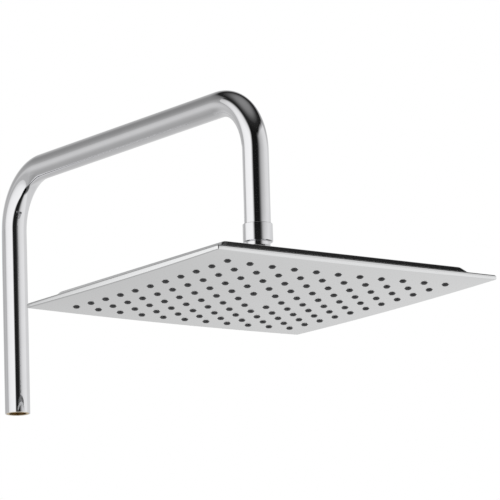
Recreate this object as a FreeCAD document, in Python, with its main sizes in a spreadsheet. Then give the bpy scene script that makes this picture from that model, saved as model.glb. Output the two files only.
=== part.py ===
import FreeCAD, Part

import os

import Sketcher
from FreeCAD import Placement, Rotation, Vector

# Overhead shower of an exposed-riser column: a bent riser and arm tube, a swivelling ball joint
# and a thin square head with a domed face and rubber nozzles.
#
# Millimetres and degrees. Z is up. The origin is on the riser's axis at its lower end, the wall
# is on the +Y side, and the arm carries the head out along -Y.

SIZES = {
    # Tube: riser, arm and drop in one bent length
    "pipe_diameter": 24.0,
    "pipe_wall": 1.2,
    "bend_radius": 54.0,  # centre line of both bends
    "arm_reach": 400.0,  # riser axis to head axis
    "arm_height": 231.0,  # arm axis above the riser's lower end
    "drop_length": 120.5,  # arm axis down to the end of the tube
    # Sleeve in the lower end of the riser
    "braze_gap": 0.05,  # radial gap of a brazed sleeve in the tube
    "socket_bore": 17.0,
    "socket_depth": 30.0,
    "socket_length": 36.0,
    "throat_bore": 13.0,
    "lock_screw_diameter": 5.0,
    "lock_screw_height": 15.0,
    "lock_screw_setback": 0.3,  # screw ends inside the tube's outline and clear of the bore
    "lock_screw_key": 2.5,  # across the flats of its socket
    "lock_screw_key_depth": 1.6,
    "screw_gap": 0.05,  # radial gap of every screw and stud in its hole
    # Threaded nipple in the end of the drop
    "thread_diameter": 20.955,  # half-inch pipe thread
    "thread_length": 11.5,
    "thread_gap": 0.05,
    "nipple_spigot": 18.0,
    "nipple_bore": 15.0,
    # Collar, neck and ball, one turned piece
    "collar_diameter": 27.0,
    "collar_height": 16.7,
    "collar_chamfer": 0.8,
    "collar_socket_depth": 13.5,
    "shoulder_diameter": 22.0,
    "shoulder_height": 3.2,
    "neck_diameter": 13.0,
    "stem_length": 17.8,  # foot of the collar down to the centre of the ball
    "stem_bore": 9.5,
    "ball_diameter": 22.0,
    "ball_flat": 8.5,  # flat under the ball, below its centre
    # Washer, filter and flow regulator inside the collar
    "washer_gap": 0.2,
    "washer_bore": 13.0,
    "filter_thickness": 0.8,
    "filter_gap": 0.2,
    "filter_hole": 3.0,
    "filter_circle": 8.6,  # circle through the centres of the six outer holes
    "regulator_diameter": 12.4,
    "regulator_height": 3.0,
    "regulator_gap": 0.1,
    "regulator_hole": 2.4,
    "regulator_circle": 7.0,
    # Seats round the ball
    "ball_gap": 0.3,  # between the ball and its seats, and round the seats
    "seat_thickness": 1.7,
    "lower_seat_top": 3.5,  # below the centre of the ball
    "lower_seat_foot": 7.0,
    "upper_seat_foot": 1.0,  # above the centre of the ball
    "upper_seat_top": 5.5,
    # Inlet boss of the head
    "ball_rise": 15.4,  # centre of the ball above the top of the head
    "boss_diameter": 30.0,
    "boss_top": 1.0,  # above the centre of the ball
    "boss_bore": 12.0,
    "boss_flange_diameter": 36.0,
    "boss_flange_height": 2.5,
    "boss_gasket_height": 1.0,
    "cavity_depth": 10.0,
    "seal_diameter": 16.4,
    "seal_bore": 12.4,
    "seal_foot": 11.7,  # below the centre of the ball
    "seal_height": 1.8,
    "seal_gap": 0.1,
    "spigot_diameter": 20.0,
    "spigot_length": 7.0,
    "bar_length": 16.0,
    "bar_width": 2.5,
    "bar_height": 2.5,
    "lock_nut_flats": 27.0,
    "lock_nut_height": 4.0,
    # Cap that keeps the ball in the boss
    "cap_diameter": 36.0,
    "cap_top": 9.5,  # above the centre of the ball
    "cap_foot": 8.0,  # below it
    "cap_chamfer": 3.5,
    "cap_mouth": 22.0,
    "cap_seat_gap": 0.2,
    "cap_flats": 33.0,
    "cap_flat_height": 7.0,
    # Head
    "head_size": 300.0,  # side of the square
    "head_depth": 13.3,  # corners of the face up to the top of the back pan
    "dome_depth": 6.2,  # centre of the face below its corners
    "rim_bow": 1.4,  # middle of each side below the corners
    "face_sheet": 1.0,
    "pan_sheet": 1.0,
    "rim_gasket_height": 1.2,
    "rim_gasket_width": 9.0,
    "rim_clearance": 0.2,
    "lip_width": 2.0,
    "pan_foot": 276.0,  # side of the raised part at the flange
    "pan_crown": 256.0,  # side of its flat top
    "pan_corner_radius": 3.0,
    # Nozzles
    "nozzle_pitch": 23.5,
    "nozzle_rows": 11,  # the centre one of the square grid is left out
    "nozzle_hole": 6.9,
    "nozzle_foot": 7.2,  # halfway up through the mat
    "nozzle_tip": 4.8,
    "nozzle_reach": 1.3,  # tip below the face
    "mat_thickness": 1.5,
    "mat_gap": 0.1,
    "mat_margin": 14.0,  # beyond the centres of the outer nozzles
    # Studs and screws between face and pan
    "centre_stud_diameter": 6.0,
    "stud_diameter": 8.0,
    "stud_steps": 3.5,  # nozzle pitches from the centre line
    "cover_screw_diameter": 4.0,
    "cover_screw_length": 8.0,
    "cover_screw_head": 7.0,
    "cover_screw_head_height": 2.2,
    "cover_screw_head_rim": 0.7,  # straight side under the sloping one
    "cover_screw_head_top": 4.6,  # flat on the head
    "cover_screw_key": 2.5,
    "cover_screw_key_depth": 1.4,
    "screw_washer_diameter": 8.6,
    "screw_washer_height": 0.8,
    "screw_hole_spare": 1.0,  # tapped hole goes on below the screw
}

document = FreeCAD.newDocument("overhead_shower")
sheet = document.addObject("Spreadsheet::Sheet", "sizes")
for row, (alias, number) in enumerate(SIZES.items(), start=1):
    sheet.set(f"A{row}", str(number))
    sheet.setAlias(f"A{row}", alias)
document.recompute()

# Heights above the riser's lower end
OUTLET = "(sizes.arm_height - sizes.drop_length)"
BALL = f"({OUTLET} - sizes.collar_height - sizes.stem_length)"
PAN_TOP = f"({BALL} - sizes.ball_rise)"
RIM = f"({PAN_TOP} - sizes.head_depth)"
HEAD_AXIS = "-sizes.arm_reach"

# Radii
PIPE_INNER = "(sizes.pipe_diameter / 2 - sizes.pipe_wall)"
THREAD_BORE = "(sizes.thread_diameter / 2 + sizes.thread_gap)"
BALL_RADIUS = "(sizes.ball_diameter / 2)"
SEAT_INNER = f"({BALL_RADIUS} + sizes.ball_gap)"
SEAT_OUTER = f"({SEAT_INNER} + sizes.seat_thickness)"
CAVITY = f"({SEAT_OUTER} + sizes.ball_gap)"

# Heights of the head's layers above the corners of its face
FLANGE_FOOT = "(sizes.face_sheet + sizes.rim_gasket_height)"
FLANGE_TOP = f"({FLANGE_FOOT} + sizes.pan_sheet)"
EDGE_TOP = f"({FLANGE_TOP} + sizes.face_sheet)"
PAN_CEILING = "(sizes.head_depth - sizes.pan_sheet)"
FLANGE_SIDE = "(sizes.head_size - 2 * sizes.face_sheet - 2 * sizes.rim_clearance)"
# Run over rise of the pan's sloping sides, and how far their inner face stands in
SLOPE = f"((sizes.pan_foot - sizes.pan_crown) / 2 / (sizes.head_depth - {FLANGE_TOP}))"
SLOPE_INSET = f"(sizes.pan_sheet * (sqrt(1 + {SLOPE} ^ 2) - {SLOPE}))"

# Heights of the boss's levels above the centre of the ball
FLANGE_OF_BOSS_FOOT = "(-sizes.ball_rise + sizes.boss_gasket_height)"
FLANGE_OF_BOSS_TOP = f"({FLANGE_OF_BOSS_FOOT} + sizes.boss_flange_height)"
SPIGOT_END = f"({FLANGE_OF_BOSS_FOOT} - sizes.spigot_length)"

# How far a cutting tool runs past what it cuts
SPARE = 2.0

PARTS = {}


def amount(expression):
    """Number that an expression of the sheet's sizes has."""
    result = sheet.evalExpression(expression)
    return float(getattr(result, "Value", result))


def keep(item, label, y="0", z="0"):
    """Name a finished piece and stand it in its place on the object."""
    item.Label = label
    item.setExpression(".Placement.Base.y", y)
    item.setExpression(".Placement.Base.z", z)
    PARTS[label] = item
    return item


def on_head(item, label):
    """A piece whose own height 0 is at the corners of the face."""
    return keep(item, label, HEAD_AXIS, RIM)


def on_ball(item, label):
    """A piece whose own height 0 is the centre of the ball."""
    return keep(item, label, HEAD_AXIS, BALL)


def in_drop(item, label):
    """A piece whose own height 0 is the lower end of the drop."""
    return keep(item, label, HEAD_AXIS, OUTLET)


# Primitives and booleans


def primitive(kind, name, sizes, x="0", y="0", z="0"):
    item = document.addObject(kind, name)
    for prop, expression in sizes.items():
        item.setExpression(prop, expression)
    item.setExpression(".Placement.Base.x", x)
    item.setExpression(".Placement.Base.y", y)
    item.setExpression(".Placement.Base.z", z)
    return item


def cylinder(name, radius, height, **place):
    return primitive("Part::Cylinder", name, {"Radius": radius, "Height": height}, **place)


def prism(name, flats, height, sides=6, **place):
    """Upright bar with flat sides; flats is the distance between opposite ones."""
    corners = f"{flats} / 2 / cos(180 deg / {sides})"
    item = primitive("Part::Prism", name, {"Circumradius": corners, "Height": height}, **place)
    item.Polygon = sides
    return item


def square_block(name, side, height, z="0"):
    """Square block centred on its axis."""
    corner = f"-({side}) / 2"
    sizes = {"Length": side, "Width": side, "Height": height}
    return primitive("Part::Box", name, sizes, x=corner, y=corner, z=z)


def ball_zone(name, radius, foot, top):
    """Slice of a sphere between two heights measured from its centre."""
    sizes = {
        "Radius": radius,
        "Angle1": f"asin({foot} / {radius})",
        "Angle2": f"asin({top} / {radius})",
    }
    return primitive("Part::Sphere", name, sizes)


def cut(name, base, *tools):
    tool = tools[0] if len(tools) == 1 else fuse(name + "_tools", *tools)
    item = document.addObject("Part::Cut", name)
    item.Base = base
    item.Tool = tool
    return item


def common(name, base, tool):
    item = document.addObject("Part::Common", name)
    item.Base = base
    item.Tool = tool
    return item


def fuse(name, *shapes):
    item = document.addObject("Part::MultiFuse", name)
    item.Shapes = list(shapes)
    return item


def solid_feature(name, shape):
    item = document.addObject("Part::Feature", name)
    item.Shape = shape
    return item


# Sketches and the bodies made from them


def new_body(name):
    return document.addObject("PartDesign::Body", name)


def new_sketch(body, name, role, height="0"):
    """Sketch on a plane of the body's own origin, moved along that plane's normal."""
    plane = next(item for item in body.Origin.OriginFeatures if item.Role == role)
    sketch = body.newObject("Sketcher::SketchObject", name)
    sketch.AttachmentSupport = (plane, [""])
    sketch.MapMode = "FlatFace"
    sketch.setExpression(".AttachmentOffset.Base.z", height)
    return sketch


def fix_point(sketch, line, end, across, up):
    """Hold one end of a line at the two distances that the expressions give."""
    for kind, expression in (("DistanceX", across), ("DistanceY", up)):
        if expression == "0":
            axis = -2 if kind == "DistanceX" else -1
            sketch.addConstraint(Sketcher.Constraint("PointOnObject", line, end, axis))
            continue
        index = sketch.addConstraint(Sketcher.Constraint(kind, -1, 1, line, end, amount(expression)))
        sketch.setExpression(f"Constraints[{index}]", expression)


def draw_outline(sketch, points):
    """Closed outline of straight lines through points given as pairs of expressions."""
    spots = [Vector(amount(across), amount(up), 0) for across, up in points]
    for index, spot in enumerate(spots):
        sketch.addGeometry(Part.LineSegment(spot, spots[(index + 1) % len(spots)]), False)
    for index in range(len(spots)):
        follower = (index + 1) % len(spots)
        sketch.addConstraint(Sketcher.Constraint("Coincident", index, 2, follower, 1))
    for index, (across, up) in enumerate(points):
        fix_point(sketch, index, 1, across, up)


def draw_square(sketch, side):
    """Square centred on the sketch's origin."""
    low, high = f"-({side}) / 2", f"({side}) / 2"
    draw_outline(sketch, [(low, low), (high, low), (high, high), (low, high)])


def draw_circle(sketch, diameter, across="0", up="0"):
    centre = Vector(amount(across), amount(up), 0)
    circle = Part.Circle(centre, Vector(0, 0, 1), amount(diameter) / 2)
    geometry = sketch.addGeometry(circle, False)
    fix_point(sketch, geometry, 3, across, up)
    index = sketch.addConstraint(Sketcher.Constraint("Diameter", geometry, amount(diameter)))
    sketch.setExpression(f"Constraints[{index}]", diameter)


def turned(name, points):
    """Piece turned about its upright axis from an outline of (radius, height) pairs."""
    body = new_body(name)
    profile = new_sketch(body, name + "_profile", "XZ_Plane")
    draw_outline(profile, points)
    turning = body.newObject("PartDesign::Revolution", name + "_turning")
    turning.Profile = profile
    turning.ReferenceAxis = (profile, ["V_Axis"])
    turning.Angle = 360
    profile.Visibility = False
    return body


def ring(name, outer, inner, foot, top):
    """Plain ring between two radii and two heights."""
    return turned(name, [(inner, foot), (outer, foot), (outer, top), (inner, top)])


def pad(body, sketch, name, height):
    feature = body.newObject("PartDesign::Pad", name)
    feature.Profile = sketch
    feature.setExpression("Length", height)
    return feature


def pocket_through(body, sketch, name):
    """Cut a sketch right through the body, both ways from its plane."""
    feature = body.newObject("PartDesign::Pocket", name)
    feature.Profile = sketch
    feature.Type = "ThroughAll"
    feature.Midplane = True
    return feature


def loft(body, kind, name, sketches):
    feature = body.newObject(kind, name)
    feature.Profile = sketches[0]
    feature.Sections = sketches[1:]
    feature.Ruled = True
    return feature


# Column


def make_riser_pipe():
    """One length of tube: up the wall, over the arm and down to the head."""
    body = new_body("riser_pipe")
    path = new_sketch(body, "pipe_path", "YZ_Plane")
    reach, height = amount("sizes.arm_reach"), amount("sizes.arm_height")
    radius, outlet = amount("sizes.bend_radius"), amount(OUTLET)
    up, forward = Vector(0, 1, 0), Vector(-1, 0, 0)
    start = Vector(0, 0, 0)
    bend_in = Vector(0, height - radius, 0)
    arm_in = Vector(-radius, height, 0)
    arm_out = Vector(radius - reach, height, 0)
    bend_out = Vector(-reach, height - radius, 0)
    end = Vector(-reach, outlet, 0)
    corner = radius * (1 - 0.5**0.5)
    first_middle = bend_in + up * (radius - corner) + forward * corner
    second_middle = bend_out + up * (radius - corner) - forward * corner
    riser = path.addGeometry(Part.LineSegment(start, bend_in), False)
    first = path.addGeometry(Part.Arc(bend_in, first_middle, arm_in), False)
    arm = path.addGeometry(Part.LineSegment(arm_in, arm_out), False)
    second = path.addGeometry(Part.Arc(arm_out, second_middle, bend_out), False)
    drop = path.addGeometry(Part.LineSegment(bend_out, end), False)
    path.addConstraint(Sketcher.Constraint("Coincident", riser, 1, -1, 1))
    path.addConstraint(Sketcher.Constraint("Vertical", riser))
    path.addConstraint(Sketcher.Constraint("Horizontal", arm))
    path.addConstraint(Sketcher.Constraint("Vertical", drop))
    path.addConstraint(Sketcher.Constraint("Tangent", riser, 2, first, 1))
    path.addConstraint(Sketcher.Constraint("Tangent", first, 2, arm, 1))
    path.addConstraint(Sketcher.Constraint("Tangent", arm, 2, second, 1))
    path.addConstraint(Sketcher.Constraint("Tangent", second, 2, drop, 1))
    path.addConstraint(Sketcher.Constraint("Equal", first, second))
    driving = (
        (Sketcher.Constraint("Radius", first, radius), "sizes.bend_radius"),
        (Sketcher.Constraint("DistanceY", -1, 1, arm, 1, height), "sizes.arm_height"),
        (Sketcher.Constraint("DistanceX", drop, 2, -1, 1, reach), "sizes.arm_reach"),
        (Sketcher.Constraint("DistanceY", -1, 1, drop, 2, outlet), OUTLET),
    )
    for constraint, expression in driving:
        index = path.addConstraint(constraint)
        path.setExpression(f"Constraints[{index}]", expression)
    section = new_sketch(body, "pipe_section", "XY_Plane")
    draw_circle(section, "sizes.pipe_diameter")
    draw_circle(section, f"2 * {PIPE_INNER}")
    document.recompute()
    sweep = body.newObject("PartDesign::AdditivePipe", "pipe_sweep")
    sweep.Profile = section
    sweep.Spine = (path, [f"Edge{number + 1}" for number in (riser, first, arm, second, drop)])
    document.recompute()
    whole = sweep.Shape.Volume
    hole = new_sketch(body, "pipe_screw_hole", "XZ_Plane")
    draw_circle(hole, "sizes.lock_screw_diameter + 2 * sizes.screw_gap", up="sizes.lock_screw_height")
    drilling = body.newObject("PartDesign::Pocket", "pipe_screw_drilling")
    drilling.Profile = hole
    drilling.setExpression("Length", "sizes.pipe_diameter")
    document.recompute()
    if drilling.Shape.Volume >= whole:
        raise RuntimeError("the screw hole missed the tube")
    keep(body, "riser_pipe")


def make_riser_socket():
    """Brass sleeve in the lower end, bored to take the spigot of the column below."""
    outer = f"{PIPE_INNER} - sizes.braze_gap"
    sleeve = turned(
        "socket_sleeve",
        [
            ("sizes.socket_bore / 2", "0"),
            (outer, "0"),
            (outer, "sizes.socket_length"),
            ("sizes.throat_bore / 2", "sizes.socket_length"),
            ("sizes.throat_bore / 2", "sizes.socket_depth"),
            ("sizes.socket_bore / 2", "sizes.socket_depth"),
        ],
    )
    drill = cylinder(
        "socket_drill",
        "sizes.lock_screw_diameter / 2 + sizes.screw_gap",
        "sizes.pipe_diameter / 2",
        z="sizes.lock_screw_height",
    )
    drill.Placement.Rotation = Rotation(Vector(1, 0, 0), -90)
    keep(cut("riser_socket", sleeve, drill), "riser_socket")


def make_lock_screw():
    """Socket set screw in the back of the riser."""
    length = "sizes.pipe_diameter / 2 - sizes.socket_bore / 2 - 2 * sizes.lock_screw_setback"
    blank = cylinder("lock_screw_blank", "sizes.lock_screw_diameter / 2", length)
    key = prism(
        "lock_screw_socket",
        "sizes.lock_screw_key",
        "sizes.lock_screw_key_depth",
        z=f"{length} - sizes.lock_screw_key_depth",
    )
    screw = cut("lock_screw", blank, key)
    screw.Placement.Rotation = Rotation(Vector(1, 0, 0), -90)
    keep(screw, "lock_screw", "sizes.socket_bore / 2 + sizes.lock_screw_setback", "sizes.lock_screw_height")


def make_arm_nipple():
    """Brass nipple brazed into the drop, with the thread that the head screws onto."""
    spigot = f"{PIPE_INNER} - sizes.braze_gap"
    nipple = turned(
        "arm_nipple",
        [
            ("sizes.nipple_bore / 2", "-sizes.thread_length"),
            ("sizes.thread_diameter / 2", "-sizes.thread_length"),
            ("sizes.thread_diameter / 2", "0"),
            (spigot, "0"),
            (spigot, "sizes.nipple_spigot"),
            ("sizes.nipple_bore / 2", "sizes.nipple_spigot"),
        ],
    )
    in_drop(nipple, "arm_nipple")


def make_inlet_washer():
    """Flat washer between the end of the nipple and the floor of the collar's socket."""
    washer = ring(
        "inlet_washer",
        f"{THREAD_BORE} - sizes.washer_gap",
        "sizes.washer_bore / 2",
        "-sizes.collar_socket_depth",
        "-sizes.thread_length",
    )
    in_drop(washer, "inlet_washer")


def make_pierced_disc(label, outer, foot, height, hole, circle):
    """Disc with six holes round a seventh, lying in the water way."""
    body = new_body(label)
    outline = new_sketch(body, label + "_outline", "XY_Plane", foot)
    draw_circle(outline, outer)
    pad(body, outline, label + "_disc", height)
    document.recompute()
    centre = new_sketch(body, label + "_centre_hole", "XY_Plane", foot)
    draw_circle(centre, hole)
    pocket_through(body, centre, label + "_centre")
    side = new_sketch(body, label + "_side_hole", "XY_Plane", foot)
    draw_circle(side, hole, across=f"{circle} / 2")
    first = pocket_through(body, side, label + "_side")
    pattern = body.newObject("PartDesign::PolarPattern", label + "_holes")
    pattern.Originals = [first]
    pattern.Axis = (side, ["N_Axis"])
    pattern.Angle = 360
    pattern.Occurrences = 6
    body.Tip = pattern
    in_drop(body, label)


def make_filter_screen():
    """Perforated disc in the nipple's bore, resting on the washer."""
    make_pierced_disc(
        "filter_screen",
        "sizes.nipple_bore - 2 * sizes.filter_gap",
        "-sizes.thread_length",
        "sizes.filter_thickness",
        "sizes.filter_hole",
        "sizes.filter_circle",
    )


def make_flow_regulator():
    """Flow regulator in the counterbore under the washer."""
    make_pierced_disc(
        "flow_regulator",
        "sizes.regulator_diameter",
        "-sizes.collar_socket_depth - sizes.regulator_height",
        "sizes.regulator_height",
        "sizes.regulator_hole",
        "sizes.regulator_circle",
    )


def make_ball_stem():
    """Collar with its socket, shoulder, neck and hollow ball, turned from one bar."""
    collar = "sizes.collar_diameter / 2"
    edge = f"{collar} - sizes.collar_chamfer"
    shoulder = "sizes.shoulder_diameter / 2"
    shoulder_foot = "-sizes.collar_height - sizes.shoulder_height"
    centre = "-sizes.collar_height - sizes.stem_length"
    outside = turned(
        "stem_outside",
        [
            ("0", "0"),
            (edge, "0"),
            (collar, "-sizes.collar_chamfer"),
            (collar, "-sizes.collar_height + sizes.collar_chamfer"),
            (edge, "-sizes.collar_height"),
            (shoulder, "-sizes.collar_height"),
            (shoulder, shoulder_foot),
            ("sizes.neck_diameter / 2", shoulder_foot),
            ("sizes.neck_diameter / 2", centre),
            ("0", centre),
        ],
    )
    ball = primitive("Part::Sphere", "stem_ball", {"Radius": BALL_RADIUS}, z=centre)
    ball.setExpression("Angle1", f"-asin(sizes.ball_flat / {BALL_RADIUS})")
    counterbore = "sizes.regulator_diameter / 2 + sizes.regulator_gap"
    counterbore_foot = "-sizes.collar_socket_depth - sizes.regulator_height"
    water_way = turned(
        "stem_water_way",
        [
            ("0", "sizes.collar_chamfer"),
            (THREAD_BORE, "sizes.collar_chamfer"),
            (THREAD_BORE, "-sizes.collar_socket_depth"),
            (counterbore, "-sizes.collar_socket_depth"),
            (counterbore, counterbore_foot),
            ("sizes.stem_bore / 2", counterbore_foot),
            ("sizes.stem_bore / 2", f"{centre} - sizes.ball_diameter"),
            ("0", f"{centre} - sizes.ball_diameter"),
        ],
    )
    in_drop(cut("ball_stem", fuse("stem_blank", outside, ball), water_way), "ball_stem")


# Ball joint


def make_seats():
    """Two plastic rings that the ball turns in, above and below its middle."""
    ball_room = primitive("Part::Sphere", "seat_ball_room", {"Radius": SEAT_INNER})
    lower = ball_zone("lower_seat_blank", SEAT_OUTER, "-sizes.lower_seat_foot", "-sizes.lower_seat_top")
    upper = ball_zone("upper_seat_blank", SEAT_OUTER, "sizes.upper_seat_foot", "sizes.upper_seat_top")
    on_ball(cut("lower_seat", lower, ball_room), "lower_seat")
    on_ball(cut("upper_seat", upper, ball_room), "upper_seat")


def make_ball_seal():
    """Rubber ring on the floor of the boss, under the ball."""
    seal = ring(
        "ball_seal",
        "sizes.seal_diameter / 2",
        "sizes.seal_bore / 2",
        "-sizes.seal_foot",
        "-sizes.seal_foot + sizes.seal_height",
    )
    on_ball(seal, "ball_seal")


def make_inlet_boss():
    """Brass boss bolted through the pan, hollowed to hold the ball."""
    flange = "sizes.boss_flange_diameter / 2"
    seal_room = "sizes.seal_diameter / 2 + sizes.seal_gap"
    blank = turned(
        "boss_blank",
        [
            ("sizes.boss_bore / 2", SPIGOT_END),
            ("sizes.spigot_diameter / 2", SPIGOT_END),
            ("sizes.spigot_diameter / 2", FLANGE_OF_BOSS_FOOT),
            (flange, FLANGE_OF_BOSS_FOOT),
            (flange, FLANGE_OF_BOSS_TOP),
            ("sizes.boss_diameter / 2", FLANGE_OF_BOSS_TOP),
            ("sizes.boss_diameter / 2", "sizes.boss_top"),
            (seal_room, "sizes.boss_top"),
            (seal_room, "-sizes.seal_foot"),
            ("sizes.boss_bore / 2", "-sizes.seal_foot"),
        ],
    )
    cup = ball_zone("boss_cup", CAVITY, "-sizes.cavity_depth", "0")
    mouth = cylinder("boss_mouth", CAVITY, "sizes.boss_top * 2")
    hollow = cut("boss_hollow", blank, cup, mouth)
    bar = primitive(
        "Part::Box",
        "boss_bar",
        {"Length": "sizes.bar_length", "Width": "sizes.bar_width", "Height": "sizes.bar_height"},
        x="-sizes.bar_length / 2",
        y="-sizes.bar_width / 2",
        z=SPIGOT_END,
    )
    on_ball(fuse("inlet_boss", hollow, bar), "inlet_boss")


def make_retaining_cap():
    """Cap nut over the boss, with a rounded lip that keeps the ball in."""
    outer = "sizes.cap_diameter / 2"
    mouth = "sizes.cap_mouth / 2"
    blank = turned(
        "cap_blank",
        [
            (mouth, "-sizes.cap_foot"),
            (outer, "-sizes.cap_foot"),
            (outer, "sizes.cap_top - sizes.cap_chamfer"),
            (f"{outer} - sizes.cap_chamfer", "sizes.cap_top"),
            (mouth, "sizes.cap_top"),
        ],
    )
    thread = cylinder(
        "cap_thread",
        "sizes.boss_diameter / 2 + sizes.thread_gap",
        "sizes.cap_foot + sizes.boss_top + sizes.cap_seat_gap",
        z="-sizes.cap_foot",
    )
    lip_room = primitive("Part::Sphere", "cap_lip_room", {"Radius": CAVITY})
    flats = []
    for side in (1, -1):
        flat = primitive(
            "Part::Box",
            "cap_flat_a" if side > 0 else "cap_flat_b",
            {"Length": "sizes.cap_diameter", "Width": "sizes.cap_diameter", "Height": "sizes.cap_flat_height"},
            x="-sizes.cap_diameter / 2",
            y="sizes.cap_flats / 2" if side > 0 else "-sizes.cap_flats / 2 - sizes.cap_diameter",
            z="-sizes.cap_foot",
        )
        flats.append(flat)
    on_ball(cut("retaining_cap", blank, thread, lip_room, *flats), "retaining_cap")


def make_boss_gasket():
    """Flat gasket between the boss's flange and the top of the pan."""
    gasket = ring(
        "boss_gasket",
        "sizes.boss_flange_diameter / 2",
        "sizes.spigot_diameter / 2 + sizes.screw_gap",
        "-sizes.ball_rise",
        FLANGE_OF_BOSS_FOOT,
    )
    on_ball(gasket, "boss_gasket")


def make_boss_lock_nut():
    """Thin hexagon nut on the spigot, under the top of the pan."""
    foot = "-sizes.ball_rise - sizes.pan_sheet - sizes.lock_nut_height"
    blank = prism("lock_nut_blank", "sizes.lock_nut_flats", "sizes.lock_nut_height", z=foot)
    bore = cylinder("lock_nut_bore", "sizes.spigot_diameter / 2 + sizes.thread_gap", "sizes.lock_nut_height", z=foot)
    on_ball(cut("boss_lock_nut", blank, bore), "boss_lock_nut")


# Head


def dome_height(x, y):
    """Height of the face's underside over a point; 0 is at its corners."""
    half = amount("sizes.head_size") / 2
    across, along = 1 - (x / half) ** 2, 1 - (y / half) ** 2
    return -amount("sizes.rim_bow") * (across + along) - amount("sizes.dome_depth - 2 * sizes.rim_bow") * across * along


def make_dome():
    """Underside of the face: one smooth patch that has the height of dome_height.

    The patch has three poles each way. A parabola's middle pole lies at twice the depth of
    its curve, so each side's middle pole is at twice the bow, and the centre one follows.
    """
    half = amount("sizes.head_size") / 2
    side_pole = amount("2 * sizes.rim_bow")
    centre_pole = amount("4 * sizes.dome_depth - 4 * sizes.rim_bow")
    surface = Part.BezierSurface()
    surface.increase(2, 2)
    for i in range(3):
        for j in range(3):
            drop = centre_pole if i == j == 1 else side_pole if 1 in (i, j) else 0
            surface.setPole(i + 1, j + 1, Vector((i - 1) * half, (j - 1) * half, -drop))
    return solid_feature("dome", surface.toShape())


def raised(name, dome, lift, thickness):
    """Sheet on the dome's shape, lifted above it. A negative thickness goes down."""
    sheet_solid = document.addObject("Part::Extrusion", name)
    sheet_solid.Base = dome
    sheet_solid.DirMode = "Custom"
    sheet_solid.Dir = Vector(0, 0, 1)
    sheet_solid.Solid = True
    sheet_solid.setExpression("LengthFwd", thickness)
    sheet_solid.setExpression(".Placement.Base.z", lift)
    return sheet_solid


def nozzle_places():
    """Centres of the nozzles: a square grid with its middle left free."""
    pitch = amount("sizes.nozzle_pitch")
    rows = int(amount("sizes.nozzle_rows"))
    middle = (rows - 1) / 2
    spots = [((i - middle) * pitch, (j - middle) * pitch) for i in range(rows) for j in range(rows)]
    return [(x, y) for x, y in spots if abs(x) > pitch / 4 or abs(y) > pitch / 4]


def stud_places():
    """Centres of the four studs, each amid four nozzles."""
    offset = amount("sizes.stud_steps * sizes.nozzle_pitch")
    return [(x, y) for x in (-offset, offset) for y in (-offset, offset)]


def eight_sided(diameter, height):
    """Closed outline with eight equal sides at a height, its corners on a circle."""
    reach = Vector(diameter / 2, 0, height)
    upright = Vector(0, 0, 1)
    return Part.makePolygon([Rotation(upright, 22.5 + 45 * corner).multVec(reach) for corner in range(9)])


def repeated(shape, places):
    """Compound of copies of a shape, each lowered with the dome where it stands."""
    copies = []
    for x, y in places:
        copy = shape.copy()
        copy.Placement = Placement(Vector(x, y, dome_height(x, y)), Rotation())
        copies.append(copy)
    return Part.makeCompound(copies)


def make_face_plate(dome):
    """Domed sheet with its edges folded up and in over the pan's flange, holed for the nozzles."""
    low = "2 * sizes.dome_depth"
    block = square_block("plate_block", f"sizes.head_size + {SPARE}", f"{low} + {EDGE_TOP}", z=f"-{low}")
    outside = common("plate_outside", raised("above_face", dome, "0", f"{low} + {EDGE_TOP}"), block)
    inside = "sizes.head_size - 2 * sizes.face_sheet"
    room_block = square_block("plate_room_block", inside, f"{low} + {FLANGE_TOP}", z=f"-{low}")
    above_sheet = raised("above_sheet", dome, "sizes.face_sheet", f"{low} + {EDGE_TOP}")
    room = common("plate_room", above_sheet, room_block)
    mouth = square_block("plate_mouth", f"{inside} - 2 * sizes.lip_width", EDGE_TOP, z=FLANGE_FOOT)
    outline = Part.Face(eight_sided(amount("sizes.nozzle_hole"), -SPARE))
    drill = outline.extrude(Vector(0, 0, amount("sizes.face_sheet") + 2 * SPARE))
    holes = solid_feature("nozzle_holes", repeated(drill, nozzle_places()))
    on_head(cut("face_plate", cut("plate_blank", outside, room, mouth), holes), "face_plate")


def make_nozzle_mat(dome):
    """Rubber mat on the inside of the face, with a nozzle standing through each hole."""
    foot = "sizes.face_sheet + sizes.mat_gap"
    sheet_solid = raised("mat_sheet", dome, foot, "sizes.mat_thickness")
    outline = square_block(
        "mat_outline",
        "(sizes.nozzle_rows - 1) * sizes.nozzle_pitch + 2 * sizes.mat_margin",
        f"2 * sizes.dome_depth + 2 * {EDGE_TOP}",
        z="-2 * sizes.dome_depth",
    )
    blank = common("mat_blank", sheet_solid, outline)
    reach = amount("sizes.nozzle_reach")
    root = amount(foot) + amount("sizes.mat_thickness") / 2
    ends = [eight_sided(amount("sizes.nozzle_tip"), -reach), eight_sided(amount("sizes.nozzle_foot"), root)]
    nozzle = Part.makeLoft(ends, True, True)
    nozzles = solid_feature("nozzles", repeated(nozzle, nozzle_places()))
    centre_hole = cylinder(
        "mat_centre_hole",
        "sizes.centre_stud_diameter / 2 + sizes.screw_gap",
        "2 * sizes.head_depth",
        z="-sizes.head_depth",
    )
    drill = Part.makeCylinder(
        amount("sizes.stud_diameter / 2 + sizes.screw_gap"), amount("2 * sizes.head_depth"), Vector(0, 0, -SPARE)
    )
    stud_holes = solid_feature("mat_stud_holes", repeated(drill, stud_places()))
    mat = cut("nozzle_mat", fuse("mat_with_nozzles", blank, nozzles), centre_hole, stud_holes)
    on_head(mat, "nozzle_mat")


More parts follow.
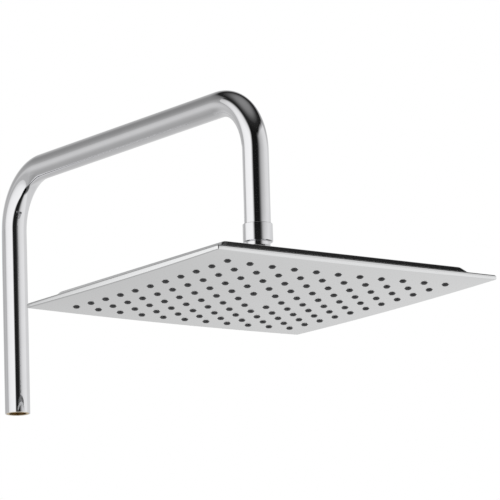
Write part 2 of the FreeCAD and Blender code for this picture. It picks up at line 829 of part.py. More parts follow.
def make_rim_gasket(below):
    """Square gasket between the face and the pan's flange."""
    side = FLANGE_SIDE
    height = f"{FLANGE_FOOT} + sizes.rim_bow"
    block = square_block("gasket_block", side, height, z="-sizes.rim_bow")
    inside = square_block("gasket_inside", f"{side} - 2 * sizes.rim_gasket_width", height, z="-sizes.rim_bow")
    on_head(cut("rim_gasket", block, inside, below), "rim_gasket")


def make_back_pan():
    """Pressed cover: flange, four sloping sides and a flat top with the inlet hole."""
    body = new_body("back_pan")
    flange = new_sketch(body, "pan_flange_outline", "XY_Plane", FLANGE_FOOT)
    draw_square(flange, FLANGE_SIDE)
    pad(body, flange, "pan_flange", "sizes.pan_sheet")
    foot = new_sketch(body, "pan_foot_outline", "XY_Plane", FLANGE_TOP)
    draw_square(foot, "sizes.pan_foot")
    crown = new_sketch(body, "pan_crown_outline", "XY_Plane", "sizes.head_depth")
    draw_square(crown, "sizes.pan_crown")
    document.recompute()
    outside = loft(body, "PartDesign::AdditiveLoft", "pan_outside", [foot, crown])
    document.recompute()
    round_ridges(body, outside, "pan_ridges", FLANGE_TOP, "sizes.head_depth", "sizes.pan_corner_radius")
    inner_foot = new_sketch(body, "pan_inner_foot", "XY_Plane", FLANGE_FOOT)
    draw_square(inner_foot, f"sizes.pan_foot - 2 * {SLOPE_INSET}")
    inner_crown = new_sketch(body, "pan_inner_crown", "XY_Plane", PAN_CEILING)
    draw_square(inner_crown, f"sizes.pan_crown - 2 * {SLOPE_INSET}")
    document.recompute()
    loft(body, "PartDesign::SubtractiveLoft", "pan_inside", [inner_foot, inner_crown])
    document.recompute()
    holes = new_sketch(body, "pan_holes", "XY_Plane", "sizes.head_depth")
    draw_circle(holes, "sizes.spigot_diameter + 2 * sizes.screw_gap")
    offset = "sizes.stud_steps * sizes.nozzle_pitch"
    for across in (offset, f"-{offset}"):
        for up in (offset, f"-{offset}"):
            draw_circle(holes, "sizes.cover_screw_diameter + 2 * sizes.screw_gap", across, up)
    pocket_through(body, holes, "pan_drilling")
    on_head(body, "back_pan")


def round_ridges(body, base, name, foot, top, radius):
    """Round the sloping edges that run from one height to the other."""
    low, high = amount(foot), amount(top)
    ridges = []
    for number, edge in enumerate(base.Shape.Edges, start=1):
        box = edge.BoundBox
        if abs(box.ZMin - low) < 0.01 and abs(box.ZMax - high) < 0.01:
            ridges.append(f"Edge{number}")
    feature = body.newObject("PartDesign::Fillet", name)
    feature.Base = (base, ridges)
    feature.setExpression("Radius", radius)
    document.recompute()


def make_studs(below):
    """Studs between the face and the pan, each seated on the dome."""
    bar_foot = f"sizes.head_depth + sizes.ball_rise + {SPIGOT_END}"
    centre = cylinder(
        "centre_stud_bar",
        "sizes.centre_stud_diameter / 2",
        f"{bar_foot} + sizes.dome_depth",
        z="-sizes.dome_depth",
    )
    on_head(cut("centre_stud", centre, below), "centre_stud")
    low = -amount("sizes.dome_depth")
    bar = Part.makeCylinder(amount("sizes.stud_diameter") / 2, amount(PAN_CEILING) - low, Vector(0, 0, low))
    depth = amount(
        "sizes.cover_screw_length - sizes.screw_washer_height - sizes.pan_sheet + sizes.screw_hole_spare"
    )
    tapping = Part.makeCylinder(
        amount("sizes.cover_screw_diameter / 2 + sizes.screw_gap"), depth, Vector(0, 0, amount(PAN_CEILING) - depth)
    )
    stud = bar.cut(tapping)
    bars = solid_feature("support_stud_bars", level_copies(stud))
    on_head(cut("support_studs", bars, below), "support_studs")


def level_copies(shape):
    """Compound of copies of a shape at the four studs, all at one height."""
    copies = []
    for x, y in stud_places():
        copy = shape.copy()
        copy.translate(Vector(x, y, 0))
        copies.append(copy)
    return Part.makeCompound(copies)


def make_cover_screws():
    """Button screws through the top of the pan into the studs, with their sealing washers."""
    seat = "sizes.head_depth + sizes.screw_washer_height"
    shank = cylinder(
        "cover_screw_shank",
        "sizes.cover_screw_diameter / 2",
        "sizes.cover_screw_length",
        z=f"{seat} - sizes.cover_screw_length",
    )
    head = turned(
        "cover_screw_button",
        [
            ("0", seat),
            ("sizes.cover_screw_head / 2", seat),
            ("sizes.cover_screw_head / 2", f"{seat} + sizes.cover_screw_head_rim"),
            ("sizes.cover_screw_head_top / 2", f"{seat} + sizes.cover_screw_head_height"),
            ("0", f"{seat} + sizes.cover_screw_head_height"),
        ],
    )
    key = prism(
        "cover_screw_socket",
        "sizes.cover_screw_key",
        "sizes.cover_screw_key_depth",
        z=f"{seat} + sizes.cover_screw_head_height - sizes.cover_screw_key_depth",
    )
    screw = cut("cover_screw", fuse("cover_screw_blank", shank, head), key)
    washer = ring(
        "screw_washer",
        "sizes.screw_washer_diameter / 2",
        "sizes.cover_screw_diameter / 2 + sizes.screw_gap",
        "sizes.head_depth",
        seat,
    )
    document.recompute()
    on_head(solid_feature("cover_screws", level_copies(screw.Shape)), "cover_screws")
    on_head(solid_feature("screw_washers", level_copies(washer.Shape)), "screw_washers")


def check(item, single=True):
    """Stop if a piece failed, is empty or isn't a sound solid."""
    shape = item.Shape
    if shape.isNull() or not shape.isValid() or not shape.Solids:
        raise RuntimeError(f"{item.Label} has no valid solid")
    if single and len(shape.Solids) != 1:
        raise RuntimeError(f"{item.Label} has {len(shape.Solids)} solids")


GROUPS = ("support_studs", "cover_screws", "screw_washers")


def main():
    make_riser_pipe()
    make_riser_socket()
    make_lock_screw()
    make_arm_nipple()
    make_inlet_washer()
    make_filter_screen()
    make_flow_regulator()
    make_ball_stem()
    make_seats()
    make_ball_seal()
    make_inlet_boss()
    make_retaining_cap()
    make_boss_gasket()
    make_boss_lock_nut()
    dome = make_dome()
    below = raised("below_face", dome, "sizes.face_sheet", f"-sizes.dome_depth - {SPARE}")
    make_face_plate(dome)
    make_nozzle_mat(dome)
    make_rim_gasket(below)
    make_back_pan()
    make_studs(below)
    make_cover_screws()
    document.recompute()
    for item in document.Objects:
        if "Invalid" in item.State or "Error" in item.State:
            raise RuntimeError(f"{item.Label} failed: {item.State}")
    for label, item in PARTS.items():
        check(item, label not in GROUPS)
    os.makedirs("parts", exist_ok=True)
    for label, item in PARTS.items():
        item.Shape.exportStep(f"parts/{label}.step")
        print(f"{label}: {item.Shape.Volume:.1f} mm3")


main()
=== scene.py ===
"""Overhead shower of an exposed-riser column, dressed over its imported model.

Metres. Z is up, the riser stands on the origin, and the arm carries the head out along -Y.
"""

import logging
import math
from collections.abc import Iterable, Sequence
from dataclasses import dataclass, field, replace
from enum import Enum

import bmesh
import bpy
from bmesh.types import BMEdge, BMesh, BMVert
from mathutils import Matrix, Vector


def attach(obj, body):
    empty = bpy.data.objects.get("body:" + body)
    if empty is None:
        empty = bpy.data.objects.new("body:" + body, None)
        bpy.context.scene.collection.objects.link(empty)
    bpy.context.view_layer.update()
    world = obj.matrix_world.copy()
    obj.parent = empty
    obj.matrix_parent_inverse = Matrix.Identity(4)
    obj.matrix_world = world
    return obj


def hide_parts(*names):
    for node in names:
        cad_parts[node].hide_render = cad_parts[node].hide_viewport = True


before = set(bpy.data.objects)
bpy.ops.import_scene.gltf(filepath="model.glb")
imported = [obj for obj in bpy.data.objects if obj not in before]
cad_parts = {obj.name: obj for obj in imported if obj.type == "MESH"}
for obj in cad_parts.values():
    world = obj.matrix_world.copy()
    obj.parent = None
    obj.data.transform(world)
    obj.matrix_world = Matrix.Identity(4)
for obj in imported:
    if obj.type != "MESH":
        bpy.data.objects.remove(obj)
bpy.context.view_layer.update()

LOG = logging.getLogger("overhead_shower")
MM = 0.001
QUARTER_TURN = math.pi / 2
FULL_TURN = 2 * math.pi
CIRCLE = 360  # degrees
UPRIGHT = Vector((0, 0, 1))
NO_WAY = Vector((0, 0, 0))
MERGE_DISTANCE = 1e-6
GRID_TOLERANCE = 1e-5  # how far a corner may be off the grid's side and count as on it

# Places that several sub-assemblies share
REACH = 400 * MM  # from the riser's axis to the axis of the drop and the head
HEAD_AXIS = Vector((0, -REACH, 0))
DROP_END = 110.5 * MM  # height of the drop's end, where the collar begins

Ring = list[BMEdge]
Part = BMVert | BMEdge
Outline = Sequence[tuple[float, float]]
Stops = Sequence[tuple[float, float]]
Colour = tuple[float, float, float, float]
Socket = bpy.types.NodeSocket

WHITE: Colour = (1.0, 1.0, 1.0, 1.0)
MIX_INPUTS = (0, 6, 7)  # a mix node's share and its two colours
MIX_RESULT = 2
RAMP_MIDDLE = 0.5  # where a new stop starts, until it gets its own position


class Body(Enum):
    """Bodies of the frame that the pieces ride on."""

    COLUMN = "column"
    HEAD = "shower_head"


class Slot(Enum):
    """Material slots of the record."""

    CHROME_TUBE = "chrome_tube"
    CHROME_BRASS = "chrome_brass"
    BRASS = "brass"
    STEEL = "steel"
    FACE_STEEL = "face_steel"
    PAN_STEEL = "pan_steel"
    GREY_RUBBER = "grey_rubber"
    BLACK_RUBBER = "black_rubber"
    WHITE_PLASTIC = "white_plastic"


class Sum(Enum):
    """Ways of making one number out of two."""

    ADD = "ADD"
    MULTIPLY = "MULTIPLY"
    BEARING = "ARCTAN2"


class Blend(Enum):
    """Ways of making one colour out of two."""

    MIX = "MIX"
    MULTIPLY = "MULTIPLY"
    ADD = "ADD"


# Materials


class NodeBoard:
    """Node tree of one material or world, with short ways to add nodes to it."""

    def __init__(self, tree: bpy.types.NodeTree) -> None:
        """Empty the tree.

        Args:
            tree: The node tree to fill.
        """
        self.tree = tree
        tree.nodes.clear()

    def add(self, kind: str, **settings: object) -> bpy.types.Node:
        """Add a node.

        Args:
            kind: Blender's name of the node type.
            **settings: Properties of the node.

        Returns:
            The new node.
        """
        node = self.tree.nodes.new(kind)
        for name, value in settings.items():
            setattr(node, name, value)
        return node

    def link(self, start: Socket, end: Socket) -> None:
        """Join two sockets."""
        self.tree.links.new(start, end)

    def feed(self, end: Socket, value: Socket | float | Colour) -> None:
        """Link a socket to another one, or give it a value of its own.

        Args:
            end: The socket.
            value: The other socket, a number or a colour.
        """
        if isinstance(value, Socket):
            self.link(value, end)
        else:
            end.default_value = value

    def show(self, shader: Socket) -> None:
        """Make a shader the surface of the material."""
        self.link(shader, self.add("ShaderNodeOutputMaterial").inputs["Surface"])

    def combine(self, way: Sum, first: Socket | float, second: Socket | float) -> Socket:
        """Make one number out of two.

        Args:
            way: How they are put together.
            first: A socket or a number.
            second: A socket or a number.

        Returns:
            The socket with the result.
        """
        node = self.add("ShaderNodeMath", operation=way.value)
        self.feed(node.inputs[0], first)
        self.feed(node.inputs[1], second)
        return node.outputs[0]

    def mix(
        self,
        share: Socket | float,
        first: Socket | Colour,
        second: Socket | Colour,
        way: Blend = Blend.MIX,
    ) -> Socket:
        """Make one colour out of two.

        Args:
            share: How much the second one counts.
            first: A socket or a colour.
            second: A socket or a colour.
            way: How they are put together.

        Returns:
            The socket with the result.
        """
        node = self.add(
            "ShaderNodeMix", data_type="RGBA", clamp_factor=True, blend_type=way.value
        )
        for index, value in zip(MIX_INPUTS, (share, first, second)):
            self.feed(node.inputs[index], value)
        return node.outputs[MIX_RESULT]

    def colour_ramp(self, source: Socket, stops: Sequence[tuple[float, Colour]]) -> Socket:
        """Turn a value from 0 to 1 into colours.

        Args:
            source: Socket with the value.
            stops: Pairs of a position and a colour.

        Returns:
            The socket with the colour.
        """
        node = self.add("ShaderNodeValToRGB")
        ramp = node.color_ramp
        while len(ramp.elements) < len(stops):
            ramp.elements.new(RAMP_MIDDLE)
        for element, (position, colour) in zip(ramp.elements, stops):
            element.position = position
            element.color = colour
        self.link(source, node.inputs[0])
        return node.outputs["Color"]

    def grey_ramp(self, source: Socket, stops: Stops) -> Socket:
        """Turn a value from 0 to 1 into greys, given as pairs of a position and a grey."""
        return self.colour_ramp(source, [(place, (grey, grey, grey, 1)) for place, grey in stops])

    def span(
        self, source: Socket, given: tuple[float, float], wanted: tuple[float, float]
    ) -> Socket:
        """Map one range of a value onto another.

        Args:
            source: Socket with the value.
            given: Start and end of its range.
            wanted: Results at the start and at the end.

        Returns:
            The socket with the result.
        """
        node = self.add("ShaderNodeMapRange")
        for name, value in zip(("From Min", "From Max", "To Min", "To Max"), (*given, *wanted)):
            node.inputs[name].default_value = value
        self.link(source, node.inputs["Value"])
        return node.outputs["Result"]

    def object_noise(
        self, scale: float, detail: float, stretch: tuple[float, float, float] = (1, 1, 1)
    ) -> Socket:
        """Noise on the piece's own coordinates.

        Args:
            scale: Waves in a metre.
            detail: Octaves of the noise.
            stretch: Scale along each axis.

        Returns:
            The socket with the noise, from 0 to 1.
        """
        place = self.add("ShaderNodeTexCoord")
        mapping = self.add("ShaderNodeMapping")
        mapping.inputs["Scale"].default_value = stretch
        noise = self.add("ShaderNodeTexNoise")
        noise.inputs["Scale"].default_value = scale
        noise.inputs["Detail"].default_value = detail
        self.link(place.outputs["Object"], mapping.inputs["Vector"])
        self.link(mapping.outputs["Vector"], noise.inputs["Vector"])
        return noise.outputs["Fac"]


def new_material(name: str) -> tuple[bpy.types.Material, NodeBoard]:
    """Start a material.

    Args:
        name: Name of the material.

    Returns:
        The material and its empty board.
    """
    material = bpy.data.materials.new(name)
    material.use_nodes = True
    return material, NodeBoard(material.node_tree)


PATCH_DETAIL = 3
GRAIN_DETAIL = 2
PATCH_RANGE = (0.3, 0.7)  # noise at which a patch is at its darkest and at its lightest


@dataclass(frozen=True)
class Finish:
    """Surface of one kind of material."""

    slot: Slot
    colour: tuple[float, float, float]
    roughness: tuple[float, float]  # lowest and highest over the surface
    metallic: float = 1.0
    patch_scale: float = 40.0  # waves of the roughness and tint in a metre
    tint: float = 0.03  # how much the colour varies
    grain_scale: float = 2000.0
    grain_stretch: tuple[float, float, float] = (1, 1, 1)
    grain_depth: float = 0.002 * MM
    grain_strength: float = 0.1
    specular: float = 0.5

    def material(self) -> bpy.types.Material:
        """Make the material of this finish once, and hand the same one out after that.

        Returns:
            The material.
        """
        name = f"{self.slot.value}_finish"
        known = bpy.data.materials.get(name)
        if known:
            return known
        material, board = new_material(name)
        shader = board.add("ShaderNodeBsdfPrincipled")
        shader.inputs["Metallic"].default_value = self.metallic
        shader.inputs["Specular IOR Level"].default_value = self.specular
        patches = board.object_noise(self.patch_scale, PATCH_DETAIL)
        tones = [(*(share * part for part in self.colour), 1) for share in (1 - self.tint, 1)]
        tinted = board.colour_ramp(patches, list(zip(PATCH_RANGE, tones)))
        board.link(tinted, shader.inputs["Base Color"])
        board.link(board.span(patches, PATCH_RANGE, self.roughness), shader.inputs["Roughness"])
        bump = board.add("ShaderNodeBump")
        bump.inputs["Strength"].default_value = self.grain_strength
        bump.inputs["Distance"].default_value = self.grain_depth
        board.link(self.grain(board), bump.inputs["Height"])
        board.link(bump.outputs["Normal"], shader.inputs["Normal"])
        board.show(shader.outputs["BSDF"])
        return material

    def grain(self, board: NodeBoard) -> Socket:
        """Height of the surface's fine grain."""
        return board.object_noise(self.grain_scale, GRAIN_DETAIL, self.grain_stretch)


@dataclass(frozen=True)
class TurnedFinish(Finish):
    """Metal turned on a lathe, with fine rings about its upright axis."""

    ring_scale: float = 900.0
    ring_waver: float = 2.0

    def grain(self, board: NodeBoard) -> Socket:
        """Height of the tool marks: wavering bands up the piece.

        Args:
            board: The material's nodes.

        Returns:
            The socket with the height.
        """
        place = board.add("ShaderNodeTexCoord")
        rings = board.add("ShaderNodeTexWave", wave_type="BANDS", bands_direction="Z")
        rings.inputs["Scale"].default_value = self.ring_scale
        rings.inputs["Distortion"].default_value = self.ring_waver
        board.link(place.outputs["Object"], rings.inputs["Vector"])
        return rings.outputs["Fac"]


CHROME_TUBE = Finish(
    Slot.CHROME_TUBE,
    (0.85, 0.85, 0.865),
    (0.02, 0.05),
    grain_scale=120.0,
    grain_depth=0.02 * MM,
    grain_strength=0.04,
)
CHROME_BRASS = replace(
    CHROME_TUBE,
    slot=Slot.CHROME_BRASS,
    roughness=(0.025, 0.055),
    grain_scale=300.0,
    grain_depth=0.01 * MM,
)
BRASS = TurnedFinish(
    Slot.BRASS,
    (0.78, 0.6, 0.32),
    (0.22, 0.34),
    tint=0.12,
    grain_depth=0.01 * MM,
    grain_strength=0.3,
)
STEEL = TurnedFinish(
    Slot.STEEL,
    (0.66, 0.67, 0.68),
    (0.16, 0.26),
    grain_depth=0.006 * MM,
    grain_strength=0.2,
)
FACE_STEEL = Finish(
    Slot.FACE_STEEL,
    (0.86, 0.865, 0.87),
    (0.1, 0.15),
    patch_scale=9.0,
    tint=0.02,
    grain_scale=900.0,
    grain_stretch=(1, 0.04, 1),
    grain_depth=0.004 * MM,
    grain_strength=0.15,
)
PAN_STEEL = Finish(
    Slot.PAN_STEEL,
    (0.76, 0.765, 0.775),
    (0.06, 0.1),
    patch_scale=14.0,
    grain_scale=900.0,
    grain_stretch=(1, 0.05, 1),
    grain_depth=0.003 * MM,
)
GREY_RUBBER = Finish(
    Slot.GREY_RUBBER,
    (0.05, 0.05, 0.053),
    (0.42, 0.6),
    metallic=0,
    patch_scale=260.0,
    tint=0.25,
    grain_scale=3000.0,
    grain_depth=0.04 * MM,
    grain_strength=0.3,
    specular=0.4,
)
BLACK_RUBBER = replace(
    GREY_RUBBER,
    slot=Slot.BLACK_RUBBER,
    colour=(0.025, 0.025, 0.025),
    roughness=(0.5, 0.68),
    grain_scale=2500.0,
    grain_depth=0.05 * MM,
)
WHITE_PLASTIC = Finish(
    Slot.WHITE_PLASTIC,
    (0.86, 0.86, 0.83),
    (0.3, 0.42),
    metallic=0,
    patch_scale=150.0,
    grain_scale=1500.0,
    grain_depth=0.02 * MM,
    grain_strength=0.2,
)


# Shaping


def only(parts: Iterable[object], kind: type[Part]) -> list[Part]:
    """Those of some parts of a mesh that are of one kind."""
    return [part for part in parts if isinstance(part, kind)]


def corners_of(edges: Iterable[BMEdge]) -> list[BMVert]:
    """Corners at the ends of some edges, each once."""
    return list({corner for edge in edges for corner in edge.verts})


def edges_at(corners: Iterable[BMVert]) -> Ring:
    """Edges that meet at some corners, each once."""
    return list({edge for corner in corners for edge in corner.link_edges})


def open_edges(mesh: BMesh) -> Ring:
    """Edges with a face on one side only."""
    return [edge for edge in mesh.edges if edge.is_boundary]


def folds(mesh: BMesh, angle: float) -> Ring:
    """Edges where two faces turn by more than an angle in degrees."""
    return [edge for edge in mesh.edges if edge.calc_face_angle(0) > math.radians(angle)]


def lies_at(edge: BMEdge, height: float) -> bool:
    """Whether an edge lies level at a height."""
    return all(abs(corner.co.z - height) < MERGE_DISTANCE for corner in edge.verts)


def shift(mesh: BMesh, way: Vector) -> None:
    """Move all of a mesh."""
    bmesh.ops.translate(mesh, verts=mesh.verts, vec=way)


def outward(mesh: BMesh) -> None:
    """Turn the faces outwards."""
    bmesh.ops.recalc_face_normals(mesh, faces=mesh.faces)


def tidy(mesh: BMesh) -> None:
    """Merge what lies together and turn the faces outwards."""
    bmesh.ops.remove_doubles(mesh, verts=mesh.verts, dist=MERGE_DISTANCE)
    outward(mesh)


def run(mesh: BMesh, ring: Ring, way: Vector) -> Ring:
    """Extrude a ring of edges straight on.

    Args:
        mesh: The mesh that the ring is in.
        ring: Edges of the open end.
        way: How far and which way it goes.

    Returns:
        Edges of the new end.
    """
    made = bmesh.ops.extrude_edge_only(mesh, edges=ring)["geom"]
    bmesh.ops.translate(mesh, verts=only(made, BMVert), vec=way)
    return only(made, BMEdge)


def bend(mesh: BMesh, ring: Ring, centre: Vector, axis: Vector, steps: int) -> Ring:
    """Carry a ring of edges round a quarter turn.

    Args:
        mesh: The mesh that the ring is in.
        ring: Edges of the open end.
        centre: Point that the bend turns about.
        axis: Axis that it turns about.
        steps: Faces along the bend.

    Returns:
        Edges of the new end.
    """
    made = bmesh.ops.spin(
        mesh,
        geom=[*corners_of(ring), *ring],
        cent=centre,
        axis=axis,
        angle=QUARTER_TURN,
        steps=steps,
        use_duplicate=False,
    )
    return only(made["geom_last"], BMEdge)


def scaled(mesh: BMesh, ring: Ring, factor: float, centre: Vector, way: Vector) -> Ring:
    """Extrude a ring of edges, scaled level about a point and moved on.

    Args:
        mesh: The mesh that the ring is in.
        ring: Edges of the open end.
        factor: Size of the new end beside the old one.
        centre: Point that it is scaled about.
        way: How far and which way it then goes.

    Returns:
        Edges of the new end.
    """
    end = run(mesh, ring, NO_WAY)
    corners = corners_of(end)
    about = Matrix.Translation(-centre)
    bmesh.ops.scale(mesh, verts=corners, vec=(factor, factor, 1), space=about)
    bmesh.ops.translate(mesh, verts=corners, vec=way)
    return end


def levelled(mesh: BMesh, ring: Ring, height: float) -> None:
    """Bring a ring of edges to one height.

    Args:
        mesh: The mesh that the ring is in.
        ring: The edges.
        height: The height.
    """
    about = Matrix.Translation((0, 0, -height))
    bmesh.ops.scale(mesh, verts=corners_of(ring), vec=(1, 1, 0), space=about)


def turned(outline: Outline, sides: int, closed: bool) -> BMesh:
    """Spin an outline about the upright axis.

    Args:
        outline: Pairs of a radius and a height.
        sides: Faces round the piece.
        closed: Whether the last point joins the first, as on a ring.

    Returns:
        The spun mesh.
    """
    mesh = bmesh.new()
    corners = [mesh.verts.new((radius, 0, height)) for radius, height in outline]
    pairs = list(zip(corners, corners[1:])) + ([(corners[-1], corners[0])] if closed else [])
    edges = [mesh.edges.new(pair) for pair in pairs]
    bmesh.ops.spin(
        mesh,
        geom=[*corners, *edges],
        cent=(0, 0, 0),
        axis=UPRIGHT,
        angle=FULL_TURN,
        steps=sides,
        use_merge=True,
        use_duplicate=False,
    )
    tidy(mesh)
    return mesh


def arc(radius: float, height: float, start: float, end: float, steps: int) -> Outline:
    """Points of an outline round a ball on the axis.

    Args:
        radius: Radius of the ball.
        height: Height of its centre.
        start: First angle above the level, in degrees.
        end: Last angle.
        steps: Number of spans.

    Returns:
        Pairs of a radius and a height.
    """
    angles = [math.radians(start + (end - start) * step / steps) for step in range(steps + 1)]
    return [(radius * math.cos(angle), height + radius * math.sin(angle)) for angle in angles]


def rod(radius: float, foot: float, top: float, sides: int) -> BMesh:
    """Closed upright bar on the axis.

    Args:
        radius: Its radius, to its corners if it has few sides.
        foot: Height of its foot.
        top: Height of its top.
        sides: Number of its sides.

    Returns:
        The mesh.
    """
    mesh = bmesh.new()
    bmesh.ops.create_cone(
        mesh,
        cap_ends=True,
        segments=sides,
        radius1=radius,
        radius2=radius,
        depth=top - foot,
        matrix=Matrix.Translation((0, 0, (foot + top) / 2)),
    )
    return mesh


def ease(mesh: BMesh, edges: Iterable[BMEdge], width: float, steps: int) -> None:
    """Round some edges.

    Args:
        mesh: The mesh that they are in.
        edges: The edges.
        width: How far the round reaches from the edge.
        steps: Faces across it.
    """
    bmesh.ops.bevel(
        mesh,
        geom=list(edges),
        offset=width,
        offset_type="OFFSET",
        affect="EDGES",
        segments=steps,
        profile=0.5,
        material=-1,
        clamp_overlap=True,
    )


def copies(mesh: BMesh, places: Sequence[Vector]) -> None:
    """Repeat all of a mesh at some places, and leave none where it was.

    Args:
        mesh: The mesh, drawn round the origin.
        places: Where the copies go.
    """
    master = [*mesh.verts, *mesh.edges, *mesh.faces]
    for place in places:
        made = bmesh.ops.duplicate(mesh, geom=master)["geom"]
        bmesh.ops.translate(mesh, verts=only(made, BMVert), vec=place)
    bmesh.ops.delete(mesh, geom=only(master, BMVert), context="VERTS")


# Pieces


def placed(
    name: str, mesh: BMesh, material: bpy.types.Material | None = None
) -> bpy.types.Object:
    """Make an object of a mesh, and put it in the scene.

    Args:
        name: Name of the object.
        mesh: Its mesh. It is freed.
        material: Its material, if it has one.

    Returns:
        The new object.
    """
    data = bpy.data.meshes.new(name)
    mesh.to_mesh(data)
    mesh.free()
    if material:
        data.materials.append(material)
    item = bpy.data.objects.new(name, data)
    bpy.context.scene.collection.objects.link(item)
    return item


def smoothed(item: bpy.types.Object) -> None:
    """Shade the piece smooth."""
    item.data.polygons.foreach_set("use_smooth", [True] * len(item.data.polygons))


def crisp(item: bpy.types.Object, angle: float) -> None:
    """Shade the piece smooth, but sharp where its faces turn by more than an angle in degrees."""
    smoothed(item)
    item.data.set_sharp_from_angle(angle=math.radians(angle))


def piece(
    name: str, mesh: BMesh, finish: Finish, body: Body, replaced: Sequence[str]
) -> bpy.types.Object:
    """Make an object of a finished mesh, dress it and put it on its body.

    Args:
        name: Name of the piece.
        mesh: Its mesh, in its place on the object. It is freed.
        finish: Its finish.
        body: The body that it rides on.
        replaced: Nodes of the frame that it stands for.

    Returns:
        The new object.
    """
    item = placed(name, mesh, finish.material())
    smoothed(item)
    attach(item, body.value)
    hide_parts(*replaced)
    faces = len(item.data.polygons)
    LOG.info("%s: %d faces, in place of %s", name, faces, ", ".join(replaced))
    return item


def softened(item: bpy.types.Object, width: float, steps: int, angle: float) -> None:
    """Round the piece's sharp edges and keep its flats flat.

    Args:
        item: The piece.
        width: How far the round reaches from the edge.
        steps: Faces across it.
        angle: Least turn of a sharp edge, in degrees.
    """
    bevel = item.modifiers.new("eased_edges", "BEVEL")
    bevel.width = width
    bevel.segments = steps
    bevel.limit_method = "ANGLE"
    bevel.angle_limit = math.radians(angle)
    bevel.harden_normals = True


def drilled(item: bpy.types.Object, drill: BMesh) -> None:
    """Cut a mesh out of a piece.

    Args:
        item: The piece.
        drill: The closed mesh to cut away. It is freed.
    """
    tool = placed("drill", drill)
    modifier = item.modifiers.new("drilling", "BOOLEAN")
    modifier.operation = "DIFFERENCE"
    modifier.solver = "EXACT"
    modifier.object = tool
    bpy.context.view_layer.update()
    depsgraph = bpy.context.evaluated_depsgraph_get()
    result = bpy.data.meshes.new_from_object(item.evaluated_get(depsgraph))
    item.modifiers.remove(modifier)
    old, spent = item.data, tool.data
    name = old.name
    item.data = result
    bpy.data.objects.remove(tool)
    bpy.data.meshes.remove(spent)
    bpy.data.meshes.remove(old)
    result.name = name


def dress(finish: Finish, *nodes: str) -> None:
    """Give nodes of the frame a finish.

    Args:
        finish: The finish.
        *nodes: Names of the nodes.
    """
    for name in nodes:
        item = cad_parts[name]
        for slot in item.material_slots:
            slot.material = finish.material()
        LOG.info("%s: %s", name, finish.slot.value)


# Sub-assemblies


@dataclass
class RiserColumn:
    """Bent tube with the brass sleeve and the set screw in its foot."""

    radius: float = 12 * MM
    wall: float = 1.2 * MM
    bend_radius: float = 54 * MM
    arm_height: float = 231 * MM
    end_chamfer: float = 0.25 * MM
    end_steps: int = 2
    end_angle: float = 60.0  # least turn at the tube's cut ends, in degrees
    screw_height: float = 15 * MM
    screw_hole: float = 2.55 * MM
    screw_hole_sides: int = 32
    screw_band: tuple[float, float] = (9 * MM, 21 * MM)  # short faces round the screw's hole
    sides: int = 128
    bend_steps: int = 72
    sharp_angle: float = 20.0  # degrees

    def build(self) -> None:
        """Make the tube and dress the pieces in its foot."""
        mesh = bmesh.new()
        foot = []
        for radius in (self.radius, self.radius - self.wall):
            circle = bmesh.ops.create_circle(
                mesh, segments=self.sides, radius=radius, cap_ends=False
            )
            foot += edges_at(circle["verts"])
        bmesh.ops.bridge_loops(mesh, edges=foot)
        end = self.sweep(mesh, foot)
        bmesh.ops.bridge_loops(mesh, edges=end)
        tidy(mesh)
        ease(mesh, folds(mesh, self.end_angle), self.end_chamfer, self.end_steps)
        tube = piece("riser_tube", mesh, CHROME_TUBE, Body.COLUMN, ["riser_pipe"])
        drill = rod(self.screw_hole, 0, 2 * self.radius, self.screw_hole_sides)
        backwards = Matrix.Rotation(-QUARTER_TURN, 3, "X")
        bmesh.ops.rotate(drill, verts=drill.verts, cent=(0, 0, 0), matrix=backwards)
        shift(drill, UPRIGHT * self.screw_height)
        drilled(tube, drill)
        crisp(tube, self.sharp_angle)
        dress(BRASS, "riser_socket", "arm_nipple")
        dress(STEEL, "lock_screw")

    def sweep(self, mesh: BMesh, foot: Ring) -> Ring:
        """Carry the foot's rings up the riser, over the arm and down the drop.

        Args:
            mesh: The mesh that they are in.
            foot: Edges of the outer and the inner ring at the foot.

        Returns:
            Edges of both rings at the end of the drop.
        """
        shoulder = self.arm_height - self.bend_radius
        low, high = self.screw_band
        axis = Vector((1, 0, 0))
        ring = foot
        for height in (low, high - low, shoulder - high):
            ring = run(mesh, ring, UPRIGHT * height)
        rear = Vector((0, -self.bend_radius, shoulder))
        front = Vector((0, self.bend_radius - REACH, shoulder))
        ring = bend(mesh, ring, rear, axis, self.bend_steps)
        ring = run(mesh, ring, front - rear)
        ring = bend(mesh, ring, front, axis, self.bend_steps)
        return run(mesh, ring, UPRIGHT * (DROP_END - shoulder))


